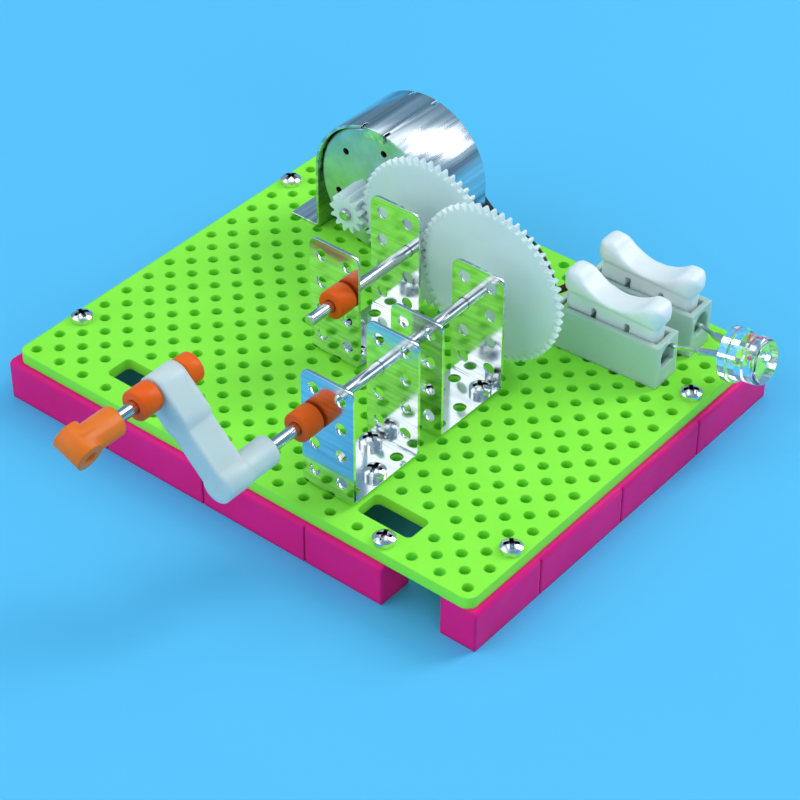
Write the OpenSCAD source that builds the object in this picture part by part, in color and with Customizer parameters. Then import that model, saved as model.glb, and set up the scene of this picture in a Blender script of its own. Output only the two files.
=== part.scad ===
/* [Board] */
// Distance between holes on the board and on the brackets
hole_pitch = 5.3333; // [5:0.0001:6]
// Holes along the long side of the board
board_columns = 18; // [17:1:22]
// Holes along the short side of the board
board_rows = 15; // [15:1:20]
// Diameter of the board's holes
board_hole_d = 1.85; // [1.8:0.05:2.1]
// Distance from the outer holes to the board's edge
board_margin = 2.25; // [2:0.05:4]
// Thickness of the board
board_t = 2.1; // [1.6:0.1:4]
// Radius of the board's corners
board_corner_r = 1.8; // [0.5:0.1:2]
// Length of a window in the board
window_l = 10.6; // [9:0.1:10.6]
// Width of a window in the board
window_w = 5.2; // [4:0.1:5.2]
// Radius of a window's corners
window_corner_r = 1; // [0.5:0.1:1.5]

/* [Rails] */
// Height of the rails under the board
rail_h = 7.5; // [7:0.5:12]
// Width of the rails
rail_w = 6.6; // [5.5:0.1:9]
// Radius of the rails' long outer edge
rail_edge_r = 0.9; // [0.3:0.1:1.5]
// Open length between the front rail and the right rail
rail_gap = 10.6; // [6:0.1:14]
// Width of the seam grooves across the rails
seam_w = 0.35; // [0.2:0.05:0.6]
// Depth of the seam grooves
seam_depth = 0.3; // [0.2:0.05:0.6]

/* [Screws] */
// Diameter of a screw's head
screw_head_d = 3.7; // [3:0.1:3.8]
// Height of a screw's head
screw_head_h = 1.6; // [1:0.1:1.8]
// Height of the dome on a screw's head
screw_dome_h = 0.7; // [0.4:0.05:0.8]
// Diameter of a screw's shank
screw_shank_d = 1.7; // [1.5:0.05:1.75]
// Length of a rail screw under its head
screw_l = 5.5; // [5:0.1:7]
// Length of a bracket screw under its head
short_screw_l = 4; // [3:0.1:5]
// Width of the cross recess
recess_w = 0.7; // [0.4:0.05:0.8]
// Length of the cross recess
recess_l = 2.5; // [1.8:0.1:2.7]
// Depth of the cross recess
recess_depth = 0.9; // [0.4:0.05:1]

/* [Brackets] */
// Width of a U bracket
bracket_w = 10.3; // [9:0.1:10.6]
// Thickness of the bracket sheet
sheet_t = 0.55; // [0.4:0.05:0.6]
// Outer radius of the bracket's bends
bend_r = 0.9; // [0.8:0.1:1.2]
// Diameter of the bracket's holes
bracket_hole_d = 2.16; // [2.1:0.02:2.2]
// Radius of the upright's top corners
upright_corner_r = 1.6; // [0.5:0.1:2]
// Height of the upright above its highest hole
upright_top = 2.7; // [2.2:0.1:4]

/* [Shafts] */
// Diameter of the shafts
shaft_d = 2; // [1.9:0.02:2.04]
// Rounding at the ends of the shafts
shaft_end_r = 0.3; // [0.1:0.05:0.4]
// Outer diameter of the stop collars
collar_d = 5; // [4:0.1:6]
// Length of the stop collars
collar_l = 3.8; // [3:0.1:4.2]
// Length of the short collar behind the crank arm
short_collar_l = 2.9; // [2:0.1:4]
// Free length of the layshaft in front of its collar
layshaft_nose = 5.2; // [3:0.1:8]

/* [Gears] */
// Teeth of the two large gears
gear_teeth = 56; // [52:1:60]
// Teeth of the small gear moulded on the layshaft gear
pinion_teeth = 8; // [8:1:9]
// Teeth of the gear on the motor shaft
motor_teeth = 12; // [11:1:14]
// Width of the large gears
gear_w = 1.2; // [1:0.1:1.6]
// Width of the gear on the motor shaft
motor_pinion_l = 6.2; // [5:0.1:6.4]
// Play between the flanks of a gear pair
gear_play = 0.14; // [0.1:0.01:0.2]
// Room between a large gear and the board
gear_board_gap = 0.35; // [0.3:0.05:1]
// Room between the two large gears
large_gear_gap = 3; // [2.4:0.1:3.4]
// Diameter of the drive gear's hub
gear_hub_d = 5; // [4:0.1:6]

/* [Crank] */
// Distance from the crank shaft to the handle
crank_r = 16.6; // [14:0.1:17]
// Angle of the crank arm at rest
crank_angle = 135; // [90:1:180]
// Distance of the crank arm's front face from the first row of holes
crank_reach = 19; // [17:0.1:23]
// Thickness of the crank arm
arm_t = 5.2; // [4.5:0.1:6]
// Width of the crank arm's middle
arm_w = 4.2; // [3.5:0.1:5]
// Length of the arm's wide end, past the handle
arm_end_l = 5.5; // [3:0.1:8]
// Diameter of the arm's two bosses
arm_boss_d = 5.4; // [5:0.1:6]
// Diameter of the hub behind the arm
hub_d = 5; // [4.4:0.1:5.4]
// Length of the hub behind the arm
hub_l = 6; // [5:0.1:7]
// Length of pin between the front collar and the knob
pin_nose = 4.1; // [2:0.1:5]
// Diameter of the knob's barrel
knob_d = 4.9; // [4:0.1:5.5]
// Length of the knob's barrel up to the cross piece's axis
knob_l = 7.2; // [6:0.1:10]
// Diameter of the knob's cross piece
cross_d = 4.8; // [4.4:0.1:6]
// Length of the knob's cross piece
cross_l = 5.2; // [5:0.1:8]
// Angle by which the knob's cross piece is turned down at rest
knob_turn = 21; // [0:1:90]

/* [Motor] */
// Diameter of the motor's can
motor_d = 24.6; // [24:0.1:26]
// Length of the motor's can
motor_l = 13; // [12.8:0.1:14]
// Wall thickness of the can
can_t = 0.6; // [0.5:0.05:0.8]
// Rounding of the can's front edge
can_edge_r = 0.6; // [0.3:0.05:0.6]
// Radius of the circle of holes in the can's face
face_hole_r = 8.85; // [8:0.05:9.2]
// Diameter of the holes in the can's face
face_hole_d = 1.3; // [1:0.1:2]
// Diameter of the boss round the front bush
boss_d = 5.2; // [4.8:0.1:8]
// Length of the boss in front of the face
boss_l = 1.2; // [0.8:0.1:1.4]
// Diameter of the bushes
bush_d = 3.6; // [3:0.1:4]
// Thickness of the magnets
magnet_t = 1.9; // [1.5:0.1:2.2]
// Diameter of the armature
armature_d = 18.2; // [17:0.1:18.6]
// Length of the armature's core
core_l = 5; // [4:0.1:5.4]
// Distance of the strap's front edge past the can's face
strap_proud = 0.7; // [0.65:0.05:1.2]
// Length of the strap's feet
strap_foot = 5.9; // [5.4:0.1:7]
// Width of the tabs that hold the motor in its strap
strap_tab_w = 4.4; // [3:0.1:6]
// Length of the tabs over the can's face
strap_tab_l = 1.4; // [1:0.1:2.6]
// Width of the slits beside the tabs
slit_w = 0.5; // [0.3:0.05:0.8]
// Length of the slits
slit_l = 1.5; // [0.8:0.1:2]
// Length of the shaft in front of the motor's gear
shaft_proud = 0.8; // [0.3:0.1:1.5]

/* [Connector] */
// Length of the wire connector
connector_l = 20.6; // [19.9:0.1:21.5]
// Width of one pole
pole_w = 6.2; // [6:0.1:7]
// Gap between the two poles
pole_gap = 4.3; // [4.1:0.05:4.8]
// Height of the housing
housing_h = 8.2; // [7.9:0.1:9]
// Wall thickness of the housing
housing_wall = 1; // [0.9:0.05:1.1]
// Angle by which the connector is turned about its screw
connector_turn = 3; // [0:0.5:5]
// Height of the motor's wires above the board, where they enter the connector
wire_h = 5.3; // [5:0.1:5.4]
// Height of the lamp's leads above the board, where they enter the connector
lead_h = 6.15; // [6:0.05:6.3]
// Length of a lever
lever_l = 19.4; // [18:0.1:20]
// Width of a lever above the housing
lever_w = 5.4; // [5:0.1:6]
// Height of a lever's raised ends above the board
lever_h = 15.2; // [14.6:0.1:15.6]
// Depth of the saddle in a lever
saddle_depth = 3.1; // [2.4:0.1:3.4]
// Rounding of a lever's long edges
lever_edge_r = 1.6; // [0.8:0.1:1.7]
// Angle at which the levers rest, with the lamp's end down
lever_rest = 3; // [0:0.5:5]
// Greatest angle of a lever, either way
lever_rock = 6; // [5:0.5:7]
// Diameter of a lever's pivots
pivot_d = 1.6; // [1.3:0.1:1.8]

/* [Lamp] */
// Diameter of the lamp's flange
lamp_flange_d = 9.2; // [9:0.1:11]
// Diameter of the lamp's body
lamp_d = 8; // [7.6:0.1:8.8]
// Thickness of the flange
lamp_flange_t = 1.5; // [1:0.1:2]
// Length of the body in front of its flange
lamp_body_l = 5.1; // [4.4:0.1:6]
// Rounding of the body's front edge
lamp_edge_r = 0.9; // [0.3:0.1:1.5]
// Distance of the lamp's flange from the last column of holes
lamp_reach = 3; // [2.6:0.1:6]
// Distance of the lamp's axis behind the connector's screw
lamp_side = 1.3; // [0:0.05:2]
// Height of the lamp's back above the board
lamp_h = 6.2; // [5.6:0.1:8]
// Angle by which the lamp looks up
lamp_tilt = 11; // [0:1:20]
// Distance between the leads at the lamp
lead_pitch = 2.54; // [2:0.01:4]
// Thickness of the leads
lead_t = 0.5; // [0.4:0.05:0.6]

/* [Wires] */
// Diameter of the motor's two wires
wire_d = 1.3; // [1:0.1:1.4]

/* [Clearances] */
// Running clearance between parts that turn past each other
run_gap = 0.3; // [0.2:0.05:0.4]
// Side clearance of a fixed fit
fit_gap = 0.02; // [0.01:0.01:0.04]
// Clearance round a lever's pivots
pivot_gap = 0.07; // [0.04:0.01:0.1]

/* [Hidden] */
$fn = 48;
past = 1;
pressure_angle = 20;
profile_shift = 0.5;
tip_relief = 0.03;
flank_steps = 4;

// Heights above the table
board_top = rail_h + board_t;

// The rails are centred under the board's outer holes
rail_proud = rail_w / 2 - board_margin;
bore_spare = 0.6;
seam_spacing = 4 * hole_pitch;
front_seam = 4.1 * hole_pitch;
side_seam = 3 * hole_pitch;

// Board edges, with the front right hole as the start of both counts
board_left = -(board_columns - 1) * hole_pitch - board_margin;
board_right = board_margin;
board_front = -board_margin;
board_back = (board_rows - 1) * hole_pitch + board_margin;
front_rail_right = board_right + rail_proud - rail_w - rail_gap;

// Windows: the holes round which each is cut, counted from the right and from the front
window_columns = [3.5, 13.5];
window_row = 1;

// Screw places, counted from the right and from the front
front_rail_screws = [[3, 0], [11, 0]];
right_rail_screws = [[0, 2], [0, 11]];
left_rail_screws = [[board_columns - 1, 2], [board_columns - 1, 12]];
rail_screws = concat(front_rail_screws, right_rail_screws, left_rail_screws);

// Bracket places: middle column, and the first and last row that the base covers
front_bracket_at = [5.5, 0.5, 3.5];
rear_bracket_at = [5.5, 4.5, 7.5];
layshaft_bracket_at = [9.5, 5.5, 8.5];
bracket_holds = [[5, 2], [6, 3], [5, 7], [6, 6], [10, 7], [9, 6]];
strap_holds = [[15, 12], [9, 12]];
bracket_rows = 4;
shaft_row = 2;
bracket_base_rows = 3;

// Gear pair on the bracket shafts: the hole pitch gives their distance
shaft_spacing = 3 * hole_pitch;
gear_module = 2 * shaft_spacing / (gear_teeth + pinion_teeth);
motor_spacing = gear_module * (gear_teeth + motor_teeth) / 2;
gear_tip_r = tip_radius(gear_teeth, -profile_shift) - tip_relief;
crank_x = -6 * hole_pitch;
layshaft_x = crank_x - shaft_spacing;
shaft_z = board_top + gear_tip_r + gear_board_gap;

// Depths of the gears behind the layshaft bracket
layshaft_bracket_back = layshaft_bracket_at[2] * hole_pitch;
pinion_front = layshaft_bracket_back + run_gap;
drive_gear_front = pinion_front + run_gap;
layshaft_gear_front = drive_gear_front + gear_w + large_gear_gap;
layshaft_gear_back = layshaft_gear_front + gear_w;
rear_bracket_back = rear_bracket_at[2] * hole_pitch;
crank_shaft_back = drive_gear_front + gear_w + run_gap;
layshaft_back = layshaft_gear_back + run_gap;
layshaft_collar_back = layshaft_bracket_at[1] * hole_pitch - run_gap;

// Motor: the can stands on the board, and its gear meets the layshaft gear
pinion_lead = 1.1;
can_r = motor_d / 2;
motor_z = board_top + can_r + fit_gap;
motor_x = layshaft_x - sqrt(pow(motor_spacing, 2) - pow(shaft_z - motor_z, 2));
motor_line = atan2(motor_z - shaft_z, motor_x - layshaft_x);
motor_pinion_front = layshaft_gear_front - pinion_lead;
motor_pinion_back = motor_pinion_front + motor_pinion_l;
motor_face = motor_pinion_back + 2 * run_gap + boss_l;
motor_back = motor_face + motor_l;
cap_t = 1.6;
bush_l = 1.8;
terminal_l = 1.8;
terminal_w = 2.2;
terminal_t = 0.6;
terminal_x = 5.2;
bush_gap = 0.05;
coil_t = 1.3;
coil_gap = 0.4;
core_front = motor_face + can_t + coil_gap + coil_t;
core_hub_d = 6;
pole_neck = 3;
pole_slot = 2.4;
shoe_t = 1.3;
magnet_proud = 0.6;
magnet_span = 77;
commutator_d = 5;
commutator_front = core_front + core_l + coil_t + coil_gap;
commutator_back = motor_back - cap_t - run_gap;
brush_w = 1.6;
brush_room = 1.2;
brush_l = can_r - can_t - fit_gap - commutator_d / 2 - run_gap - brush_room;
face_holes = 6;
face_hole_turn = 19;
strap_gap = 0.3;
strap_r = can_r + strap_gap + sheet_t;
strap_front = motor_face - strap_proud;
strap_back = motor_back + strap_proud;

// Crank and handle
crank_front = -crank_reach;
arm_back = crank_front + arm_t;
hub_back = arm_back + hub_l;
front_bracket_front = front_bracket_at[1] * hole_pitch;
handle_x = crank_x + crank_r * cos(crank_angle);
handle_z = shaft_z + crank_r * sin(crank_angle);
knob_back = crank_front - run_gap - collar_l - pin_nose;
cross_y = knob_back - knob_l;
pin_back = arm_back + run_gap + short_collar_l + shaft_end_r;
bore_floor = 1.2;

// Connector
connector_hold = [3, 12];
pole_pitch = pole_gap + pole_w;
inner_l = connector_l - 2 * housing_wall;
inner_w = pole_w - 2 * housing_wall;
housing_floor = 1.4;
web_l = 7;
web_h = 3.2;
opening_w = 4.1;
opening_low = 3.4;
clip_t = 0.35;
clip_l = 15.6;
leaf_l = 3;
wire_grip = 2.6;

// Levers: a pad with a saddle on a stem that fills the trough, and pivots in sockets in the walls
pivot_h = housing_h - 1.6;
pivot_cap = 0.45;
pivot_play = 0.15;
pad_under = housing_h + 2.6;
stem_w = inner_w - 2 * run_gap;
stem_end_gap = 0.5;
stem_room = 0.2;
stem_l = inner_l - 2 * stem_end_gap;
stem_corner_r = 1.2;
stem_end_low = lead_h + lead_t / 2 + stem_room + stem_l / 2 * sin(lever_rock);
stem_low = pivot_h - pivot_d / 2;
stem_slot_w = 1;
stem_slot_x = 3.2;
stem_slot_top = housing_h + 1.3;

// Lamp
lamp_y = hole_at(connector_hold)[1] + lamp_side;
lamp_z = board_top + lamp_h;
lamp_l = lamp_flange_t + lamp_body_l;
lamp_tip = lamp_reach + (lamp_l - lamp_edge_r) * cos(lamp_tilt) + (lamp_d / 2 - lamp_edge_r) * sin(lamp_tilt)
    + lamp_edge_r;
lead_offset = 1.4;
shoulder_start = 0.45;
shoulder_w = 1.2;
post_l = 3.6;
cup_d = 1.9;
cup_l = 1.2;

// Origin under the middle of the whole object
x_low = board_left - rail_proud;
x_high = lamp_tip;
y_low = cross_y - cross_d / 2;
y_high = board_back;

// Wire routes: where the wires bend on their way from the motor to the connector
black_bends = [[-57.6, 74.6, 20.6], [-53.8, 72.6, 17.6], [-46.6, 69.8, 16.5], [-40.7, 68.3, 16.9],
    [-36.2, 66.3, 16.5], [-31.7, 63.3, 15.2], [-29.9, 60.7, 14.9]];
red_bends = [[-68.6, 75, 20.8], [-64, 76, 16.8], [-58, 75.6, 12.6], [-52, 74, 10.7], [-46, 71.8, 10.35],
    [-40, 69.3, 10.35], [-35.6, 67.4, 10.4], [-32.2, 66.6, 11.3], [-30, 67.6, 13.6]];
wire_sides = 8;
wire_steps = 4;

// Puts the origin on the table, under the middle of the whole object
module stand() {
    translate([-(x_low + x_high) / 2, -(y_low + y_high) / 2, 0])
        children();
}

function hole_at(place) = [-place[0] * hole_pitch, place[1] * hole_pitch];

// Rectangle about the origin with round corners
module round_rect(length, width, r) {
    square([length - 2 * r, width], center = true);
    square([length, width - 2 * r], center = true);
    for (sx = [-1, 1], sy = [-1, 1])
        translate([sx * (length / 2 - r), sy * (width / 2 - r)])
            circle(r);
}

// Turns a plan so that it stands in the X-Z plane and runs from y_from back to y_to
module stand_up(y_from, y_to) {
    translate([0, y_to, 0])
        rotate([90, 0, 0])
            linear_extrude(y_to - y_from)
                children();
}

// Round bar along Y with rounded ends
module bar_along_y(d, y_from, y_to, end_r) {
    translate([0, y_from, 0])
        rotate([-90, 0, 0])
            rotate_extrude()
                bar_half(d / 2, y_to - y_from, end_r);
}

module bar_half(r, length, end_r) {
    square([r - end_r, length]);
    translate([0, end_r])
        square([r, length - 2 * end_r]);
    for (v = [end_r, length - end_r])
        translate([r - end_r, v])
            intersection() {
                circle(end_r);
                square([2 * end_r, 4 * end_r], center = true);
            }
}

// Ring along Y
module ring_along_y(outer_d, inner_d, y_from, y_to) {
    stand_up(y_from, y_to)
        difference() {
            circle(d = outer_d);
            circle(d = inner_d);
        }
}

// Pan head screw with a cross recess, its head's underside at z = 0
module screw(length) {
    dome_r = (pow(screw_head_d / 2, 2) + pow(screw_dome_h, 2)) / (2 * screw_dome_h);
    difference() {
        intersection() {
            cylinder(d = screw_head_d, h = screw_head_h);
            translate([0, 0, screw_head_h - dome_r])
                sphere(dome_r);
        }
        for (turn = [0, 90])
            rotate(turn)
                translate([-recess_l / 2, -recess_w / 2, screw_head_h - recess_depth])
                    cube([recess_l, recess_w, recess_depth + past]);
    }
    translate([0, 0, -length])
        cylinder(d = screw_shank_d, h = length);
}

function tip_radius(teeth, shift) = gear_module * (teeth / 2 + 1 + shift);
function root_radius(teeth, shift) = gear_module * (teeth / 2 - 1.25 + shift);
function base_radius(teeth) = gear_module * teeth / 2 * cos(pressure_angle);
function involute(angle) = tan(angle) * 180 / PI - angle;

// Half of a tooth's angle at radius r
function half_tooth(teeth, shift, r) =
    let (pitch_r = gear_module * teeth / 2)
    let (thick = gear_module * (PI / 2 + 2 * shift * tan(pressure_angle)) - gear_play / 2)
    let (angle = acos(min(1, base_radius(teeth) / r)))
    thick / (2 * pitch_r) * 180 / PI + involute(pressure_angle) - involute(angle);

// Radii of the points along one flank, from the root to the tip
function flank_radius(teeth, shift, tip_r, k) =
    let (start = max(root_radius(teeth, shift), base_radius(teeth)))
    k == 0 ? root_radius(teeth, shift) : start + (tip_r - start) * (k - 1) / (flank_steps - 1);

// Involute gear with one tooth centred on the angle turn
module gear_plan(teeth, shift, tip_r, turn) {
    polygon([
        for (i = [0:teeth - 1], side = [-1, 1], step = [0:flank_steps])
            let (k = side < 0 ? step : flank_steps - step)
            let (r = flank_radius(teeth, shift, tip_r, k))
            let (a = turn + 360 * i / teeth + side * half_tooth(teeth, shift, max(r, base_radius(teeth))))
            r * [cos(a), sin(a)]
    ]);
}

// Perforated board: two sets of holes, one between the other, and two windows
function in_window(place) =
    len([for (c = window_columns)
        if (abs(place[0] - c) * hole_pitch <= (window_l + board_hole_d) / 2
            && abs(place[1] - window_row) * hole_pitch <= (window_w + board_hole_d) / 2) c]) > 0;

module base_board() {
    places = concat(
        [for (i = [0:board_columns - 1], j = [0:board_rows - 1]) [i, j]],
        [for (i = [0:board_columns - 2], j = [0:board_rows - 2]) [i + 0.5, j + 0.5]]);
    color("chartreuse")
        stand()
            translate([0, 0, rail_h])
                linear_extrude(board_t)
                    difference() {
                        translate([(board_left + board_right) / 2, (board_front + board_back) / 2])
                            round_rect(board_right - board_left, board_back - board_front, board_corner_r);
                        for (place = places)
                            if (!in_window(place))
                                translate(hole_at(place))
                                    circle(d = board_hole_d);
                        for (c = window_columns)
                            translate(hole_at([c, window_row]))
                                round_rect(window_l, window_w, window_corner_r);
                    }
}

// Section of a rail: x runs outwards from its inner face, and the outer upper edge is round
module rail_section() {
    square([rail_w, rail_h - rail_edge_r]);
    square([rail_w - rail_edge_r, rail_h]);
    translate([rail_w - rail_edge_r, rail_h - rail_edge_r])
        circle(rail_edge_r);
}

// Rail along X from 0, its outer face towards -Y at y = 0, with seams across that face
module rail(length, first_seam) {
    difference() {
        translate([length, rail_w, 0])
            rotate([90, 0, -90])
                linear_extrude(length)
                    rail_section();
        for (x = [first_seam : seam_spacing : length - seam_w])
            translate([x, -past, -past])
                cube([seam_w, seam_depth + past, rail_h + 2 * past]);
    }
}

module rail_bores(places) {
    for (place = places)
        translate(concat(hole_at(place), [board_top - screw_l - bore_spare]))
            cylinder(d = screw_shank_d + 2 * fit_gap, h = screw_l + bore_spare);
}

module front_rail() {
    color("mediumvioletred")
        stand()
            difference() {
                translate([board_left - rail_proud, -rail_w / 2, 0])
                    rail(front_rail_right - board_left + rail_proud, front_seam);
                rail_bores(front_rail_screws);
            }
}

module right_rail() {
    color("mediumvioletred")
        stand()
            difference() {
                translate([board_right + rail_proud, board_front, 0])
                    rotate(90)
                        rail(board_back - board_front, side_seam);
                rail_bores(right_rail_screws);
            }
}

module left_rail() {
    color("mediumvioletred")
        stand()
            difference() {
                translate([board_left - rail_proud, board_back, 0])
                    rotate(-90)
                        rail(board_back - rail_w / 2, side_seam);
                rail_bores(left_rail_screws);
            }
}

module board_screws() {
    color("silver")
        stand()
            for (place = rail_screws)
                translate(concat(hole_at(place), [board_top]))
                    rotate(20 * place[1] + 7 * place[0])
                        screw(screw_l);
}

// Side view of a U bracket, length along x, with both bends rounded
module u_section(length, height) {
    difference() {
        u_outer(length, height, bend_r);
        translate([0, sheet_t])
            u_outer(length - 2 * sheet_t, height, bend_r - sheet_t);
    }
}

module u_outer(length, height, r) {
    translate([-length / 2, r])
        square([length, height - r]);
    translate([-length / 2 + r, 0])
        square([length - 2 * r, height - r]);
    for (side = [-1, 1])
        translate([side * (length / 2 - r), r])
            circle(r);
}

// U bracket with two columns of holes in its uprights and in its base
module u_bracket(place) {
    length = (place[2] - place[1]) * hole_pitch;
    shaft_h = shaft_z - board_top;
    height = shaft_h + (bracket_rows - 1 - shaft_row) * hole_pitch + upright_top;
    mid_y = (place[1] + place[2]) / 2 * hole_pitch;
    translate([-place[0] * hole_pitch, mid_y, board_top])
        difference() {
            intersection() {
                rotate([90, 0, 90])
                    linear_extrude(bracket_w, center = true)
                        u_section(length, height);
                stand_up(-length, length)
                    translate([0, height / 2])
                        round_rect(bracket_w, height, upright_corner_r);
            }
            for (side = [-1, 1], row = [0:bracket_rows - 1])
                translate([side * hole_pitch / 2, 0, shaft_h + (row - shaft_row) * hole_pitch])
                    rotate([90, 0, 0])
                        cylinder(d = bracket_hole_d, h = length + past, center = true);
            for (side = [-1, 1], row = [0:bracket_base_rows - 1])
                translate([side * hole_pitch / 2, (row - (bracket_base_rows - 1) / 2) * hole_pitch, 0])
                    cylinder(d = bracket_hole_d, h = 4 * sheet_t, center = true);
        }
}

module front_bracket() {
    color("lightsteelblue")
        stand()
            u_bracket(front_bracket_at);
}

module rear_bracket() {
    color("lightsteelblue")
        stand()
            u_bracket(rear_bracket_at);
}

module layshaft_bracket() {
    color("lightsteelblue")
        stand()
            u_bracket(layshaft_bracket_at);
}

module bracket_screws() {
    color("silver")
        stand()
            for (place = bracket_holds)
                translate(concat(hole_at(place), [board_top + sheet_t]))
                    rotate(25 * place[1] + 11 * place[0])
                        screw(short_screw_l);
}

// Strap over the motor: an arch on two legs with feet turned outwards
module strap_section() {
    drop = motor_z - board_top;
    difference() {
        strap_outline(strap_r, drop);
        strap_outline(strap_r - sheet_t, drop + past);
    }
    for (side = [-1, 1])
        translate([side * (strap_r - sheet_t + (strap_foot + sheet_t) / 2), sheet_t / 2 - drop])
            square([strap_foot + sheet_t, sheet_t], center = true);
}

module strap_outline(r, drop) {
    circle(r, $fn = 96);
    translate([-r, -drop])
        square([2 * r, drop]);
}

module motor_strap() {
    color("lightsteelblue")
        stand()
            difference() {
                union() {
                    translate([motor_x, 0, motor_z])
                        stand_up(strap_front, strap_back)
                            intersection() {
                                strap_section();
                                translate([0, 2 * strap_r - (motor_z - board_top)])
                                    square(4 * strap_r, center = true);
                            }
                    for (y = [strap_front, strap_back - sheet_t])
                        translate([motor_x, 0, motor_z])
                            stand_up(y, y + sheet_t)
                                intersection() {
                                    difference() {
                                        circle(strap_r - sheet_t / 2);
                                        circle(strap_r - sheet_t - strap_tab_l);
                                    }
                                    translate([-strap_tab_w / 2, 0])
                                        square([strap_tab_w, strap_r]);
                                }
                }
                for (place = strap_holds)
                    translate(concat(hole_at(place), [board_top - past]))
                        cylinder(d = bracket_hole_d, h = sheet_t + 2 * past);
                for (side = [-1, 1], y = [strap_front, strap_back])
                    translate([motor_x + side * (strap_tab_w + slit_w) / 2, y, motor_z + strap_r])
                        cube([slit_w, 2 * slit_l, 4 * sheet_t], center = true);
            }
}

module strap_screws() {
    color("silver")
        stand()
            for (place = strap_holds)
                translate(concat(hole_at(place), [board_top + sheet_t]))
                    rotate(4 * place[0])
                        screw(short_screw_l);
}

// Motor can: a drawn cup, open at the back, with a boss and six holes in its face
module motor_can() {
    color("gainsboro")
        stand()
            translate([motor_x, 0, motor_z])
                difference() {
                    translate([0, motor_face, 0])
                        rotate([-90, 0, 0])
                            rotate_extrude($fn = 96)
                                can_half();
                    for (i = [0:face_holes - 1])
                        rotate([0, -(face_hole_turn + 360 / face_holes * i), 0])
                            translate([face_hole_r, motor_face - past, 0])
                                rotate([-90, 0, 0])
                                    cylinder(d = face_hole_d, h = can_t + 2 * past);
                }
}

module can_half() {
    bore_r = bush_d / 2 + fit_gap;
    difference() {
        union() {
            translate([0, can_edge_r])
                square([can_r, motor_l - can_edge_r]);
            square([can_r - can_edge_r, motor_l]);
            translate([can_r - can_edge_r, can_edge_r])
                circle(can_edge_r);
            translate([0, -boss_l])
                square([boss_d / 2, boss_l + past]);
        }
        translate([0, can_t])
            square([can_r - can_t, motor_l]);
        translate([0, -boss_l - past])
            square([bore_r, boss_l + can_t + 2 * past]);
        translate([-can_r, -motor_l])
            square([can_r, 3 * motor_l]);
    }
}

// End cap: a disc that closes the can, with a socket for the rear bush and two slots for the terminals
module motor_end_cap() {
    color("dimgray")
        stand()
            translate([motor_x, 0, motor_z])
                difference() {
                    ring_along_y(2 * (can_r - can_t - fit_gap), bush_d + 2 * fit_gap, motor_back - cap_t, motor_back);
                    for (side = [-1, 1])
                        translate([side * terminal_x, motor_back - cap_t / 2, 0])
                            cube([terminal_w + 2 * fit_gap, cap_t + past, terminal_t + 2 * fit_gap], center = true);
                }
}

module motor_magnets() {
    outer_r = can_r - can_t - fit_gap;
    color("darkslategray")
        stand()
            translate([motor_x, 0, motor_z])
                for (side = [-1, 1])
                    stand_up(core_front - magnet_proud, core_front + core_l + magnet_proud)
                        intersection() {
                            difference() {
                                circle(outer_r);
                                circle(outer_r - magnet_t);
                            }
                            polygon([[0, 0], for (turn = [-1, 1])
                                side * 2 * outer_r * [cos(magnet_span / 2), turn * sin(magnet_span / 2)]]);
                        }
}

module front_bush() {
    color("peru")
        stand()
            translate([motor_x, 0, motor_z])
                ring_along_y(bush_d, shaft_d + 2 * bush_gap, motor_face - boss_l, motor_face - boss_l + bush_l);
}

module rear_bush() {
    color("peru")
        stand()
            translate([motor_x, 0, motor_z])
                ring_along_y(bush_d, shaft_d + 2 * bush_gap, motor_back - cap_t, motor_back);
}

// Brushes: two leaves on the end cap that reach in to the commutator
module motor_brushes() {
    brush_front = commutator_front + fit_gap;
    brush_depth = motor_back - cap_t - brush_front;
    color("goldenrod")
        stand()
            translate([motor_x, brush_front + brush_depth / 2, motor_z])
                for (side = [-1, 1])
                    translate([side * (commutator_d / 2 + run_gap + brush_l / 2), 0, 0])
                        cube([brush_l, brush_depth, brush_w], center = true);
}

// Terminals: two flat tabs through the end cap, each against the back of a brush
module motor_terminals() {
    color("gold")
        stand()
            translate([motor_x, 0, motor_z])
                for (side = [-1, 1])
                    translate([side * terminal_x, motor_back + (terminal_l - cap_t) / 2, 0])
                        cube([terminal_w, cap_t + terminal_l, terminal_t], center = true);
}

// Puts the middle of the connector's foot at the origin and its length along X
module connector_place() {
    translate(concat(hole_at(connector_hold), [board_top]))
        rotate(connector_turn)
            children();
}

function connector_point(p) = concat(hole_at(connector_hold), [board_top])
    + [p[0] * cos(connector_turn) - p[1] * sin(connector_turn),
        p[0] * sin(connector_turn) + p[1] * cos(connector_turn), p[2]];

// Housing of the wire connector: two open troughs joined by a web with a screw hole
module connector_housing() {
    color("white")
        stand()
            connector_place()
                difference() {
                    union() {
                        for (side = [-1, 1])
                            translate([0, side * pole_pitch / 2, 0])
                                pole_trough();
                        translate([-web_l / 2, -pole_gap / 2 - fit_gap, 0])
                            cube([web_l, pole_gap + 2 * fit_gap, web_h]);
                    }
                    translate([0, 0, -past])
                        cylinder(d = board_hole_d, h = web_h + 2 * past);
                }
}

module pole_trough() {
    difference() {
        translate([-connector_l / 2, -pole_w / 2, 0])
            cube([connector_l, pole_w, housing_h]);
        translate([-inner_l / 2, -inner_w / 2, housing_floor])
            cube([inner_l, inner_w, housing_h]);
        rotate([90, 0, 90])
            linear_extrude(connector_l + 2 * past, center = true)
                wire_opening();
        translate([0, 0, pivot_h])
            rotate([90, 0, 0])
                cylinder(d = pivot_d + 2 * pivot_gap, h = pole_w - 2 * pivot_cap, center = true);
    }
}

module wire_opening() {
    r = opening_w / 2;
    translate([-r, opening_low])
        square([opening_w, wire_h - opening_low]);
    translate([0, wire_h])
        circle(r);
}

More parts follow.
